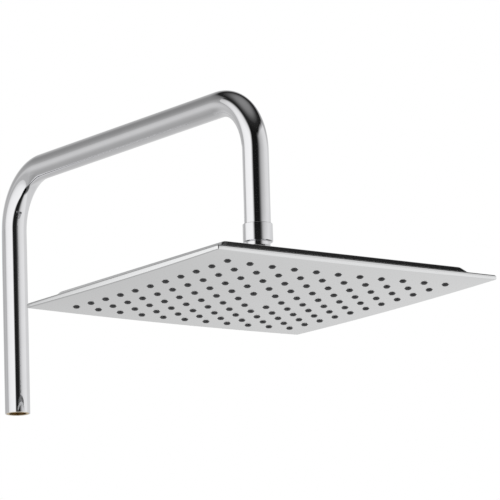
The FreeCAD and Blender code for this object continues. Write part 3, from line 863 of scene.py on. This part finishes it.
@dataclass
class SwivelJoint:
    """Collar, neck and ball in one piece, with what lies in the water way and the two seats."""

    collar: float = 13.5 * MM
    collar_height: float = 16.7 * MM
    chamfer: float = 0.8 * MM
    rim_chamfer: float = 0.25 * MM
    shoulder: float = 11 * MM
    shoulder_foot: float = 90.6 * MM
    neck: float = 6.5 * MM
    neck_flare: float = 1.0 * MM
    ball: float = 11 * MM
    ball_height: float = 76 * MM
    ball_flat: float = 8.5 * MM
    ball_steps: int = 20
    bore: float = 4.75 * MM
    counterbore: float = 6.3 * MM
    counterbore_height: float = 94 * MM
    socket: float = 10.53 * MM
    socket_height: float = 97 * MM
    sides: int = 96
    edge_round: float = 0.2 * MM
    edge_steps: int = 3
    sharp_angle: float = 35.0  # degrees

    def build(self) -> None:
        """Make the ball stem and dress the inner pieces."""
        foot = DROP_END - self.collar_height
        neck_angle = math.degrees(math.acos(self.neck / self.ball))
        flat_angle = -math.degrees(math.asin(self.ball_flat / self.ball))
        outline = [
            (self.socket, DROP_END),
            (self.collar - self.rim_chamfer, DROP_END),
            (self.collar, DROP_END - self.rim_chamfer),
            (self.collar, foot + self.chamfer),
            (self.collar - self.chamfer, foot),
            (self.shoulder, foot),
            (self.shoulder, self.shoulder_foot),
            (self.neck + self.neck_flare, self.shoulder_foot),
            (self.neck, self.shoulder_foot - self.neck_flare),
            *arc(self.ball, self.ball_height, neck_angle, flat_angle, self.ball_steps),
            (self.bore, self.ball_height - self.ball_flat),
            (self.bore, self.counterbore_height),
            (self.counterbore, self.counterbore_height),
            (self.counterbore, self.socket_height),
            (self.socket, self.socket_height),
        ]
        mesh = turned(outline, self.sides, closed=True)
        shift(mesh, HEAD_AXIS)
        stem = piece("collar_and_ball", mesh, CHROME_BRASS, Body.COLUMN, ["ball_stem"])
        softened(stem, self.edge_round, self.edge_steps, self.sharp_angle)
        dress(BLACK_RUBBER, "inlet_washer", "ball_seal")
        dress(STEEL, "filter_screen")
        dress(WHITE_PLASTIC, "flow_regulator", "lower_seat", "upper_seat")


@dataclass
class HeadInlet:
    """Boss bolted through the cover, with its cap, gasket and nut."""

    def build(self) -> None:
        """Dress the inlet's pieces."""
        dress(CHROME_BRASS, "inlet_boss", "retaining_cap")
        dress(BLACK_RUBBER, "boss_gasket")
        dress(BRASS, "boss_lock_nut")


@dataclass
class NozzleGrid:
    """Square grid of nozzles on the domed face, with its middle left free."""

    side: float = 300 * MM
    rim: float = 47.3 * MM
    dome: float = 6.2 * MM
    bow: float = 1.4 * MM
    pitch: float = 23.5 * MM
    rows: int = 11
    cell_spans: int = 4

    @property
    def half(self) -> float:
        """Half of the side of all cells together."""
        return self.rows * self.pitch / 2

    def places(self) -> list[Vector]:
        """Centres of the nozzles, level.

        Returns:
            All but the middle one.
        """
        middle = (self.rows - 1) / 2
        steps = [row - middle for row in range(self.rows)]
        return [Vector((x, y, 0)) * self.pitch for x in steps for y in steps if x or y]

    def square(self, mesh: BMesh) -> list[BMVert]:
        """Add a square of one pitch round the origin.

        Args:
            mesh: The mesh to add it to.

        Returns:
            Its corners.
        """
        spans = self.cell_spans
        made = bmesh.ops.create_grid(
            mesh, x_segments=spans, y_segments=spans, size=self.pitch / 2
        )
        return made["verts"]

    def cell(self, hole: float) -> tuple[BMesh, Ring]:
        """Square of one pitch with a round hole in its middle.

        Args:
            hole: Radius of the hole.

        Returns:
            The mesh and the edges of the hole.
        """
        mesh = bmesh.new()
        inner = [corner for corner in self.square(mesh) if not corner.is_boundary]
        bmesh.ops.delete(mesh, geom=inner, context="VERTS")
        outer = list(mesh.edges)
        made = bmesh.ops.create_circle(mesh, segments=len(outer), radius=hole, cap_ends=False)
        circle = edges_at(made["verts"])
        bmesh.ops.bridge_loops(mesh, edges=outer + circle)
        return mesh, circle

    def filled(self, mesh: BMesh) -> None:
        """Close the middle cell with a plain square.

        Args:
            mesh: The mesh with the other cells.
        """
        faces = {face for corner in self.square(mesh) for face in corner.link_faces}
        bmesh.ops.recalc_face_normals(mesh, faces=list(faces))

    def borders(self, edge: BMEdge) -> bool:
        """Whether an edge lies along one of the four sides of the grid.

        Args:
            edge: The edge.

        Returns:
            True if both of its corners do.
        """
        return any(
            all(abs(abs(corner.co[axis]) - self.half) < GRID_TOLERANCE for corner in edge.verts)
            for axis in (0, 1)
        )

    def outer_edges(self, mesh: BMesh) -> Ring:
        """Open edges along the four sides of the grid."""
        return [edge for edge in open_edges(mesh) if self.borders(edge)]

    def raised(self, x: float, y: float) -> float:
        """Height of the face's underside over a point, below its corners.

        Args:
            x: Distance from the middle across the arm.
            y: Distance from the middle along it.

        Returns:
            The height, 0 or less.
        """
        half = self.side / 2
        across = 1 - (x / half) ** 2
        along = 1 - (y / half) ** 2
        return -self.bow * (across + along) - (self.dome - 2 * self.bow) * across * along

    def domed(self, mesh: BMesh) -> None:
        """Lower every corner of a mesh with the dome, and stand it in its place.

        Args:
            mesh: The mesh, level and round the origin.
        """
        for corner in mesh.verts:
            corner.co.z += self.raised(corner.co.x, corner.co.y)
        shift(mesh, HEAD_AXIS + UPRIGHT * self.rim)


@dataclass
class SprayFace:
    """Domed sheet with its folded edge, and the rubber nozzles through it."""

    grid: NozzleGrid = field(default_factory=NozzleGrid)
    sheet: float = 1.0 * MM
    edge_height: float = 4.2 * MM
    lip: float = 3.0 * MM
    fold: float = 1.2 * MM
    fold_steps: int = 4
    top_fold: float = 1.6 * MM
    top_fold_steps: int = 6
    fold_angle: float = 45.0  # least turn of a fold, in degrees
    flat_margin: float = 2.4 * MM  # narrow faces beside the fold, so that it shades alone
    face_sharp_angle: float = 40.0  # degrees
    hole: float = 3.45 * MM
    foot: float = 3.2 * MM
    tip: float = 2.4 * MM
    tip_round: float = 0.35 * MM
    tip_ease: float = 0.1 * MM  # how far the round's middle is in from its corner
    reach: float = 1.3 * MM
    mouth: float = 0.5 * MM  # how much wider than the jet it is
    mouth_depth: float = 0.4 * MM
    jet: float = 0.7 * MM
    jet_end: float = 0.56 * MM
    jet_depth: float = 2.4 * MM
    mat_height: float = 1.1 * MM
    mat_thickness: float = 1.5 * MM
    mat_margin: float = 2.25 * MM
    mat_sharp_angle: float = 50.0  # degrees

    def build(self) -> None:
        """Make the face and the rubber behind it."""
        self.build_face()
        self.build_nozzles()
        dress(BLACK_RUBBER, "rim_gasket")
        dress(STEEL, "centre_stud", "support_studs")

    def build_face(self) -> None:
        """Make the holed dome, fold its edges up and in, and give it its thickness."""
        grid = self.grid
        mesh, _ = grid.cell(self.hole)
        copies(mesh, grid.places())
        grid.filled(mesh)
        tidy(mesh)
        half, last = grid.half, grid.side / 2
        rim = grid.outer_edges(mesh)
        for next_half in ((half + last) / 2, last - self.flat_margin, last):
            rim = scaled(mesh, rim, next_half / half, NO_WAY, NO_WAY)
            half = next_half
        grid.domed(mesh)
        top = grid.rim + self.edge_height
        wall = run(mesh, rim, UPRIGHT * self.edge_height)
        levelled(mesh, wall, top)
        scaled(mesh, wall, 1 - 2 * self.lip / grid.side, HEAD_AXIS, NO_WAY)
        outward(mesh)
        upper = [edge for edge in folds(mesh, self.fold_angle) if lies_at(edge, top)]
        ease(mesh, upper, self.top_fold, self.top_fold_steps)
        ease(mesh, folds(mesh, self.fold_angle), self.fold, self.fold_steps)
        outward(mesh)
        bmesh.ops.solidify(mesh, geom=list(mesh.faces), thickness=self.sheet)
        outward(mesh)
        face = piece("domed_face", mesh, FACE_STEEL, Body.HEAD, ["face_plate"])
        crisp(face, self.face_sharp_angle)

    def build_nozzles(self) -> None:
        """Make the mat with one nozzle a cell."""
        grid = self.grid
        mesh, ring = grid.cell(self.foot)
        end = -self.mat_height - self.reach
        radius, height = self.foot, 0.0
        for next_radius, next_height in (
            (self.foot, -self.mat_height),
            (self.tip, end + self.tip_round),
            (self.tip - self.tip_ease, end + self.tip_ease),
            (self.tip - self.tip_round, end),
            (self.jet + self.mouth, end),
            (self.jet, end + self.mouth_depth),
            (self.jet_end, end + self.jet_depth),
        ):
            way = UPRIGHT * (next_height - height)
            ring = scaled(mesh, ring, next_radius / radius, NO_WAY, way)
            radius, height = next_radius, next_height
        bmesh.ops.holes_fill(mesh, edges=ring, sides=0)
        copies(mesh, grid.places())
        grid.filled(mesh)
        tidy(mesh)
        side = grid.outer_edges(mesh)
        side = scaled(mesh, side, 1 + self.mat_margin / grid.half, NO_WAY, NO_WAY)
        top = run(mesh, side, UPRIGHT * self.mat_thickness)
        bmesh.ops.holes_fill(mesh, edges=top, sides=0)
        shift(mesh, UPRIGHT * self.mat_height)
        grid.domed(mesh)
        outward(mesh)
        nozzles = piece("nozzle_rubber", mesh, GREY_RUBBER, Body.HEAD, ["nozzle_mat"])
        crisp(nozzles, self.mat_sharp_angle)


@dataclass
class BackCover:
    """Pressed cover of the head, with its four screws and their washers."""

    flange: float = 297.6 * MM
    flange_top: float = 50.5 * MM
    foot: float = 276 * MM
    crown: float = 256 * MM
    top: float = 60.6 * MM
    sheet: float = 1.0 * MM
    ridge_round: float = 3.0 * MM
    ridge_steps: int = 5
    crown_round: float = 1.6 * MM
    crown_steps: int = 4
    crown_angle: float = 10.0  # least turn at the crown, in degrees
    pan_sharp_angle: float = 25.0  # degrees
    inlet: float = 10.05 * MM
    hole_sides: int = 48
    screw_hole: float = 2.05 * MM
    screw_offset: float = 82.25 * MM
    washer_top: float = 61.4 * MM
    screw_sides: int = 48
    screw_head: float = 3.5 * MM
    screw_head_rim: float = 0.6 * MM
    screw_head_height: float = 2.2 * MM
    screw_curve: tuple[tuple[float, float], ...] = (  # radius and height of the head's round
        (2.17 * MM, 2.2 * MM),
        (2.8 * MM, 1.85 * MM),
        (3.255 * MM, 1.15 * MM),
    )
    screw_shank: float = 2.0 * MM
    screw_length: float = 8.0 * MM
    screw_sharp_angle: float = 35.0  # degrees
    key: float = 2.5 * MM
    key_depth: float = 1.4 * MM
    key_sides: int = 6

    def build(self) -> None:
        """Make the cover and its screws."""
        self.build_pan()
        self.build_screws()
        dress(BLACK_RUBBER, "screw_washers")

    def corners(self) -> list[Vector]:
        """Axes of the four screws."""
        ends = (-self.screw_offset, self.screw_offset)
        return [HEAD_AXIS + Vector((x, y, 0)) for x in ends for y in ends]

    def build_pan(self) -> None:
        """Press the pan from its flange up, round its edges, and drill it."""
        mesh = bmesh.new()
        bmesh.ops.create_grid(mesh, x_segments=1, y_segments=1, size=self.crown / 2)
        shift(mesh, HEAD_AXIS + UPRIGHT * self.top)
        down = UPRIGHT * (self.flange_top - self.top)
        foot = scaled(mesh, open_edges(mesh), self.foot / self.crown, HEAD_AXIS, down)
        scaled(mesh, foot, self.flange / self.foot, HEAD_AXIS, NO_WAY)
        outward(mesh)
        level = (self.flange_top, self.top)
        ridges = [
            edge for edge in mesh.edges if not any(lies_at(edge, height) for height in level)
        ]
        ease(mesh, ridges, self.ridge_round, self.ridge_steps)
        crown = [edge for edge in folds(mesh, self.crown_angle) if lies_at(edge, self.top)]
        ease(mesh, crown, self.crown_round, self.crown_steps)
        outward(mesh)
        if max(mesh.faces, key=lambda face: face.calc_area()).normal.z < 0:
            bmesh.ops.reverse_faces(mesh, faces=mesh.faces)
        bmesh.ops.solidify(mesh, geom=list(mesh.faces), thickness=self.sheet)
        outward(mesh)
        pan = piece("pressed_cover", mesh, PAN_STEEL, Body.HEAD, ["back_pan"])
        holes = [(HEAD_AXIS, self.inlet)]
        holes += [(corner, self.screw_hole) for corner in self.corners()]
        for place, radius in holes:
            drill = rod(radius, self.flange_top, self.top + self.sheet, self.hole_sides)
            shift(drill, place)
            drilled(pan, drill)
        crisp(pan, self.pan_sharp_angle)

    def build_screws(self) -> None:
        """Make the four button screws."""
        seat = self.washer_top
        top = seat + self.screw_head_height
        outline = [
            (0, top),
            *((radius, seat + height) for radius, height in self.screw_curve),
            (self.screw_head, seat + self.screw_head_rim),
            (self.screw_head, seat),
            (self.screw_shank, seat),
            (self.screw_shank, seat - self.screw_length),
            (0, seat - self.screw_length),
        ]
        mesh = turned(outline, self.screw_sides, closed=False)
        copies(mesh, self.corners())
        screws = piece("button_screws", mesh, STEEL, Body.HEAD, ["cover_screws"])
        radius = self.key / 2 / math.cos(math.pi / self.key_sides)
        for corner in self.corners():
            drill = rod(radius, top - self.key_depth, top + self.key_depth, self.key_sides)
            shift(drill, corner)
            drilled(screws, drill)
        crisp(screws, self.screw_sharp_angle)


# Studio

# Greys of the studio round the object, by degrees to the right of the room's open side
UPPER_RING = (
    (-180, 1.0), (-158, 1.0), (-150, 0.9), (-138, 0.66), (-124, 0.58), (-112, 0.5),
    (-98, 0.42), (-80, 0.2), (-60, 0.01), (17, 0.008), (24, 0.04), (30, 0.14),
    (37, 0.3), (44, 0.43), (54, 0.54), (65, 0.62), (75, 0.69), (85, 0.77),
    (96, 0.81), (108, 0.82), (125, 0.86), (140, 0.95), (180, 1.0),
)
LOWER_RING = (
    (-180, 0.66), (-176.5, 0.61), (-168, 0.615), (-155, 0.645), (-147, 0.625), (-138, 0.63),
    (-130, 0.56), (-122, 0.575), (-114, 0.65), (-109, 0.67), (-105, 0.65), (-99, 0.5),
    (-88, 0.5), (-80, 0.3), (-60, 0.01), (20, 0.015), (29, 0.12), (37, 0.43),
    (46, 0.66), (58, 0.8), (70, 0.85), (95, 0.89), (108, 0.73), (140, 0.72),
    (155, 0.7), (168, 0.76), (176.4, 0.715), (180, 0.66),
)
# Heights of a direction between which the lower greys pass into the upper ones
HORIZON = (0.196, 0.205)
# How far a bearing belongs to the rear walls, and to the far end of the floor
REAR = ((-180, 1.0), (-112, 1.0), (-100, 0.0), (118, 0.0), (135, 1.0), (180, 1.0))
FAR = (
    (-180, 0.2), (-172, 0.35), (-150, 0.8), (-135, 1.0),
    (-108, 1.0), (-98, 0.0), (118, 0.0), (180, 0.2),
)
# How much lower than their highest the walls end
WALL_FALL = (
    (-180, 0.03), (17, 0.03), (28, 0.09), (40, 0.08), (55, 0.03), (65, 0.0), (85, 0.0),
    (105, 0.04), (118, 0.06), (128, 0.13), (160, 0.13), (172, 0.05), (180, 0.03),
)
# Light on the walls and overhead, by the height of the direction
FRONT_SHADE = ((0.0, 1.0), (0.6, 1.0), (0.7, 0.0))
REAR_SHADE = ((0.23, 0.93), (0.33, 0.78), (0.48, 0.56), (0.63, 0.41), (0.69, 0.3), (0.75, 0.0))
CEILING = (
    (0.0, 0.0), (0.58, 0.0), (0.66, 0.012), (0.78, 0.022), (0.86, 0.09), (0.95, 0.22), (1.0, 0.26),
)
# Light at the far end, by the way down from a height
FAR_TOP = 0.2
FAR_SHADE = (
    (0.0, 0.82), (0.1, 0.92), (0.17, 1.0), (0.33, 1.0), (0.4, 0.94),
    (0.5, 0.82), (0.6, 0.72), (0.74, 0.73), (0.8, 0.66),
)
# Light straight underneath, by the way down
UNDER = ((0.955, 1.0), (0.985, 0.15))
# Light of the panel, across it from the left and from its foot up
PANEL_ACROSS = (
    (0.0, 0.7), (0.11, 0.95), (0.25, 1.02), (0.667, 1.06),
    (0.765, 0.95), (0.855, 0.5), (1.0, 0.008),
)
PANEL_UP = ((0.0, 0.7), (0.2, 1.0), (0.84, 1.0), (0.91, 0.8), (0.97, 0.03))


@dataclass
class Studio:
    """Pale floor, soft light, and the camera where the photographer stood."""

    floor_height: float = -2.05
    floor_half: float = 60.0
    floor_colour: float = 0.8
    floor_shade: float = 0.985  # its darkest patches beside its lightest
    floor_patches: float = 0.7  # waves in a metre
    floor_roughness: float = 0.9
    floor_specular: float = 0.1
    soft_light: Colour = (0.88, 0.88, 0.89, 1.0)
    panel_start: Vector = field(default_factory=lambda: Vector((-0.526, 0.327, 0)))
    panel_end: Vector = field(default_factory=lambda: Vector((-0.963, -0.995, 0)))
    panel_foot: float = -1.9
    panel_top: float = 1.0
    lamp_place: Vector = field(default_factory=lambda: Vector((-2.2, -2.6, 2.4)))
    lamp_target: Vector = field(default_factory=lambda: Vector((0, -0.3, 0.1)))
    lamp_width: float = 2.4
    lamp_height: float = 2.0
    lamp_watts: float = 45.0
    camera_place: Vector = field(default_factory=lambda: Vector((-2.432, -3.773, -0.745)))
    azimuth: float = 35.69  # degrees from +Y towards +X, as are the next two
    elevation: float = 11.32
    roll: float = -1.70
    lens: float = 343.1  # millimetres, as the film
    film_width: float = 36.0
    farthest: float = 200.0  # where the camera's sight ends

    def build(self) -> None:
        """Set the floor, the world, the panel, the lamp and the camera."""
        self.build_floor()
        self.build_world()
        self.build_panel()
        self.build_lamp()
        self.build_camera()
        bpy.context.scene.view_settings.view_transform = "Standard"

    def build_floor(self) -> None:
        """Lay the plain pale floor."""
        material, board = new_material("pale_floor_paint")
        shader = board.add("ShaderNodeBsdfPrincipled")
        shader.inputs["Roughness"].default_value = self.floor_roughness
        shader.inputs["Specular IOR Level"].default_value = self.floor_specular
        patches = board.object_noise(self.floor_patches, GRAIN_DETAIL)
        tones = (self.floor_colour * self.floor_shade, self.floor_colour)
        shade = board.grey_ramp(patches, list(zip(PATCH_RANGE, tones)))
        board.link(shade, shader.inputs["Base Color"])
        board.show(shader.outputs["BSDF"])
        mesh = bmesh.new()
        bmesh.ops.create_grid(mesh, x_segments=1, y_segments=1, size=self.floor_half)
        shift(mesh, UPRIGHT * self.floor_height)
        floor = placed("pale_floor", mesh, material)
        floor.visible_glossy = False

    def build_world(self) -> None:
        """Make the room white, with its grey walls and dark ceiling in gloss, and light it."""
        world = bpy.data.worlds.new("studio")
        bpy.context.scene.world = world
        world.use_nodes = True
        board = NodeBoard(world.node_tree)
        output = board.add("ShaderNodeOutputWorld")
        background = board.add("ShaderNodeBackground")
        rays = board.add("ShaderNodeLightPath")
        glossy = rays.outputs["Is Glossy Ray"]
        glimpse = board.mix(glossy, WHITE, self.walls(board))
        seen = board.combine(Sum.ADD, rays.outputs["Is Camera Ray"], glossy)
        seen = board.combine(Sum.ADD, seen, rays.outputs["Is Transmission Ray"])
        board.link(board.mix(seen, self.soft_light, glimpse), background.inputs["Color"])
        background.inputs["Strength"].default_value = 1.0
        board.link(background.outputs["Background"], output.inputs["Surface"])

    def walls(self, board: NodeBoard) -> Socket:
        """What gloss shows of the studio, by direction.

        Args:
            board: Nodes of the world.

        Returns:
            The socket with the colour.
        """
        turn = board.add("ShaderNodeVectorRotate", rotation_type="Z_AXIS")
        turn.inputs["Angle"].default_value = QUARTER_TURN + math.radians(self.azimuth)
        direction = board.add("ShaderNodeTexCoord").outputs["Generated"]
        board.link(direction, turn.inputs["Vector"])
        parts = board.add("ShaderNodeSeparateXYZ")
        board.link(turn.outputs["Vector"], parts.inputs["Vector"])
        outwards, sideways, height = (parts.outputs[name] for name in ("X", "Y", "Z"))
        bearing = board.combine(Sum.BEARING, sideways, outwards)
        around = board.span(bearing, (-math.pi, math.pi), (0, 1))
        upper, lower, rear, far, fall = (
            board.grey_ramp(around, [(0.5 + angle / CIRCLE, grey) for angle, grey in stops])
            for stops in (UPPER_RING, LOWER_RING, REAR, FAR, WALL_FALL)
        )
        tops = board.combine(Sum.ADD, height, fall)
        shades = (board.grey_ramp(tops, stops) for stops in (FRONT_SHADE, REAR_SHADE))
        above = board.mix(1.0, upper, board.mix(rear, *shades), Blend.MULTIPLY)
        drop = board.span(height, (FAR_TOP, FAR_TOP - 1), (0, 1))
        end = board.mix(far, WHITE, board.grey_ramp(drop, FAR_SHADE))
        under = board.grey_ramp(board.combine(Sum.MULTIPLY, height, -1.0), UNDER)
        below = board.mix(1.0, lower, end, Blend.MULTIPLY)
        below = board.mix(1.0, below, under, Blend.MULTIPLY)
        sides = board.mix(board.span(height, HORIZON, (0, 1)), below, above)
        return board.mix(1.0, sides, board.grey_ramp(height, CEILING), Blend.ADD)

    def build_panel(self) -> None:
        """Stand a tall white panel on the left, which shows in gloss only."""
        material, board = new_material("white_panel_glow")
        glow = board.add("ShaderNodeEmission")
        parts = board.add("ShaderNodeSeparateXYZ")
        place = board.add("ShaderNodeTexCoord").outputs["Generated"]
        board.link(place, parts.inputs["Vector"])
        across = board.grey_ramp(parts.outputs["X"], PANEL_ACROSS)
        upwards = board.grey_ramp(parts.outputs["Z"], PANEL_UP)
        board.link(board.mix(1.0, across, upwards, Blend.MULTIPLY), glow.inputs["Color"])
        board.show(glow.outputs["Emission"])
        width = self.panel_end - self.panel_start
        height = self.panel_top - self.panel_foot
        mesh = bmesh.new()
        bmesh.ops.create_grid(mesh, x_segments=1, y_segments=1, size=0.5)
        bmesh.ops.scale(mesh, verts=mesh.verts, vec=(width.length, height, 1))
        upended = Matrix.Rotation(QUARTER_TURN, 3, "X")
        bmesh.ops.rotate(mesh, verts=mesh.verts, cent=(0, 0, 0), matrix=upended)
        panel = placed("white_panel", mesh, material)
        middle = self.panel_start + width / 2 + UPRIGHT * (self.panel_foot + height / 2)
        turn = Matrix.Rotation(math.atan2(width.y, width.x), 4, "Z")
        panel.matrix_world = Matrix.Translation(middle) @ turn
        panel.visible_camera = False
        panel.visible_diffuse = False
        panel.visible_transmission = False
        panel.visible_shadow = False

    def build_lamp(self) -> None:
        """Hang one big soft box over the camera's left."""
        lamp = bpy.data.lights.new("soft_box", "AREA")
        lamp.shape = "RECTANGLE"
        lamp.size = self.lamp_width
        lamp.size_y = self.lamp_height
        lamp.energy = self.lamp_watts
        item = bpy.data.objects.new("soft_box", lamp)
        turn = (self.lamp_target - self.lamp_place).to_track_quat("-Z", "Y").to_matrix()
        item.matrix_world = Matrix.Translation(self.lamp_place) @ turn.to_4x4()
        item.visible_glossy = False
        bpy.context.scene.collection.objects.link(item)

    def build_camera(self) -> None:
        """Stand the camera where the nozzle grid says that it stood."""
        azimuth, elevation, roll = map(math.radians, (self.azimuth, self.elevation, self.roll))
        outward_way = Vector((math.sin(azimuth), math.cos(azimuth), 0))
        forward = outward_way * math.cos(elevation) + UPRIGHT * math.sin(elevation)
        sideways = Vector((math.cos(azimuth), -math.sin(azimuth), 0))
        right = math.cos(roll) * sideways + math.sin(roll) * sideways.cross(forward)
        up = right.cross(forward)
        data = bpy.data.cameras.new("camera")
        data.sensor_width = self.film_width
        data.lens = self.lens
        data.clip_end = self.farthest
        camera = bpy.data.objects.new("camera", data)
        turn = Matrix((right, up, -forward)).transposed().to_4x4()
        camera.matrix_world = Matrix.Translation(self.camera_place) @ turn
        bpy.context.scene.collection.objects.link(camera)
        bpy.context.scene.camera = camera


def main() -> None:
    """Build and dress the object, then set the studio round it."""
    logging.basicConfig(level=logging.INFO, format="%(name)s: %(message)s")
    for assembly in (
        RiserColumn(), SwivelJoint(), HeadInlet(), SprayFace(), BackCover(), Studio()
    ):
        assembly.build()
        LOG.info("%s is done", type(assembly).__name__)


if __name__ == "__main__":
    main()
